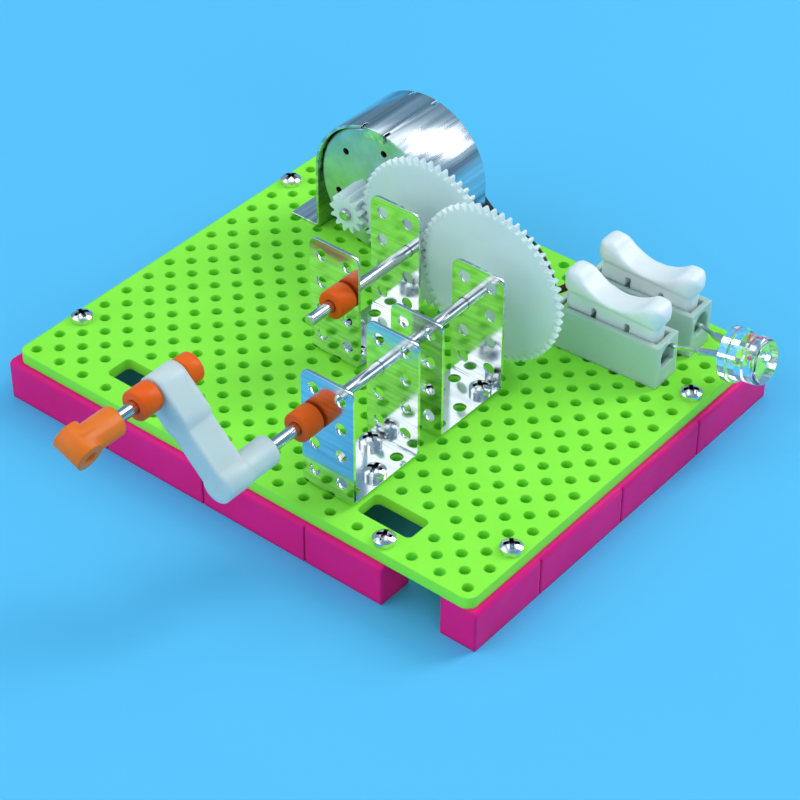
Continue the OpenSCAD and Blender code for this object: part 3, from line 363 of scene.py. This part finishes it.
def route(points, steps=3):
    """A Catmull-Rom curve through the points, in this many steps for each span."""
    out = []
    for i in range(len(points) - 1):
        a, b = points[max(i - 1, 0)], points[i]
        c, d = points[i + 1], points[min(i + 2, len(points) - 1)]
        for s in range(steps):
            t = s / steps
            out.append(0.5 * (2 * b + (c - a) * t + (2 * a - 5 * b + 4 * c - d) * t * t
                              + (3 * b - 3 * c + d - a) * t ** 3))
    return out + [points[-1]]


def connector_point(x, y, z):
    return CONNECTOR + CONNECTOR_TURN @ Vector((x, y, z))


def wire(name, node, material, terminal, bends, pole):
    """A wire of the source, as a round one. terminal and pole are 1 or -1, for the side they are on."""
    start = MOTOR + Vector((terminal * TERMINAL, 0, 0))
    mouth = connector_point(HOUSING_END - WIRE_D, pole * POLE, MOUTH_HEIGHT)
    grip = connector_point(GRIP, pole * POLE, MOUTH_HEIGHT)
    middle = route([start + Vector((0, WIRE_D, 0))] + [Vector(p) for p in bends] + [mouth])
    line = [at(*p) for p in [start] + middle + [grip]]
    curve = bpy.data.curves.new(name, "CURVE")
    curve.dimensions = "3D"
    curve.bevel_depth = WIRE_D / 2 * MM
    curve.bevel_resolution = 5
    curve.use_fill_caps = True
    spline = curve.splines.new("POLY")
    spline.points.add(len(line) - 1)
    for point, where in zip(spline.points, line):
        point.co = (*where, 1)
    spline.use_smooth = True
    curve.materials.append(material)
    piece = put(name, curve)
    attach(piece, "base")
    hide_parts(node)


wire("black_lead", "black_wire", black_cover, 1,
     [(-57.6, 74.6, 20.6), (-53.8, 72.6, 17.6), (-46.6, 69.8, 16.5), (-40.7, 68.3, 16.9),
      (-36.2, 66.3, 16.5), (-31.7, 63.3, 15.2), (-29.9, 60.7, 14.9)], -1)
wire("red_lead", "red_wire", red_cover, -1,
     [(-68.6, 75, 20.8), (-64, 76, 16.8), (-58, 75.6, 12.6), (-52, 74, 10.7), (-46, 71.8, 10.35),
      (-40, 69.3, 10.35), (-35.6, 67.4, 10.4), (-32.2, 66.6, 11.3), (-30, 67.6, 13.6)], 1)

# Lamp: the lit chip inside the lens, in line with one of its leads
LAMP = Matrix.Translation(at(3.0, 65.2996, 15.8)) @ Matrix.Rotation(math.radians(-11), 4, "Y")
CHIP_PROFILE = [(4.85, 0.30), (4.95, 0.42), (5.10, 0.42), (5.20, 0.30)]
CHIP_SIDE = 1.27
CHIP_FACES = 24


def lathe(name, profile, turns, material, body, place):
    """A turned piece about its own X axis, from (x, r) pairs."""
    work = bmesh.new()
    rings = []
    for x, r in profile:
        angles = [2 * math.pi * k / turns for k in range(turns)]
        rings.append([work.verts.new((x * MM, r * MM * math.cos(a), r * MM * math.sin(a))) for a in angles])
    for a, b in zip(rings, rings[1:]):
        for k in range(turns):
            n = (k + 1) % turns
            work.faces.new((a[k], a[n], b[n], b[k]))
    work.faces.new(rings[0])
    work.faces.new(list(reversed(rings[-1])))
    bmesh.ops.recalc_face_normals(work, faces=work.faces)
    for face in work.faces:
        face.smooth = True
    mesh = bpy.data.meshes.new(name)
    work.to_mesh(mesh)
    work.free()
    mesh.materials.append(material)
    piece = put(name, mesh)
    piece.matrix_world = place
    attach(piece, body)


lathe("lamp_chip", CHIP_PROFILE, CHIP_FACES, glow, "base",
      LAMP @ Matrix.Translation(Vector((0, CHIP_SIDE, 0)) * MM))

# Floor and light
FLOOR_REACH = 3.0
SKY_COLOUR = (0.36, 0.70, 1.0, 1)
SKY_STRENGTH = 0.45


def floor():
    s = Shader("floor")
    s.colour(s.noise(scale=3, detail=2), (0.088, 0.53, 0.86), (0.093, 0.545, 0.88))
    s.roughness(s.noise(scale=40, detail=2), 0.7, 0.8)
    mesh = bpy.data.meshes.new("floor")
    corners = [(x * FLOOR_REACH, y * FLOOR_REACH, 0) for x, y in ((-1, -1), (1, -1), (1, 1), (-1, 1))]
    mesh.from_pydata(corners, [], [(0, 1, 2, 3)])
    mesh.materials.append(s.material)
    piece = put("floor", mesh)


def lamp_light(name, where, target, size, power):
    light = bpy.data.lights.new(name, "AREA")
    light.shape = "RECTANGLE"
    light.size, light.size_y = size
    light.energy = power
    piece = put(name, light)
    piece.location = where
    piece.rotation_mode = "QUATERNION"
    piece.rotation_quaternion = (Vector(target) - Vector(where)).to_track_quat("-Z", "Y")


floor()
world = bpy.data.worlds.new("studio")
world.use_nodes = True
sky = world.node_tree.nodes["Background"]
sky.inputs["Color"].default_value = SKY_COLOUR
sky.inputs["Strength"].default_value = SKY_STRENGTH
bpy.context.scene.world = world
lamp_light("key", where=(0.34, 0.68, 0.63), target=(0, 0.02, 0.02), size=(0.34, 0.75), power=4.7)
lamp_light("top", where=(-0.15, 0.15, 0.92), target=(0, 0, 0.02), size=(0.70, 0.70), power=1.9)
lamp_light("front", where=(-0.46, -0.62, 0.53), target=(0, 0, 0.02), size=(1.15, 0.95), power=4.6)
lamp_light("right", where=(0.72, -0.42, 0.30), target=(0, 0, 0.02), size=(0.40, 0.40), power=1.3)
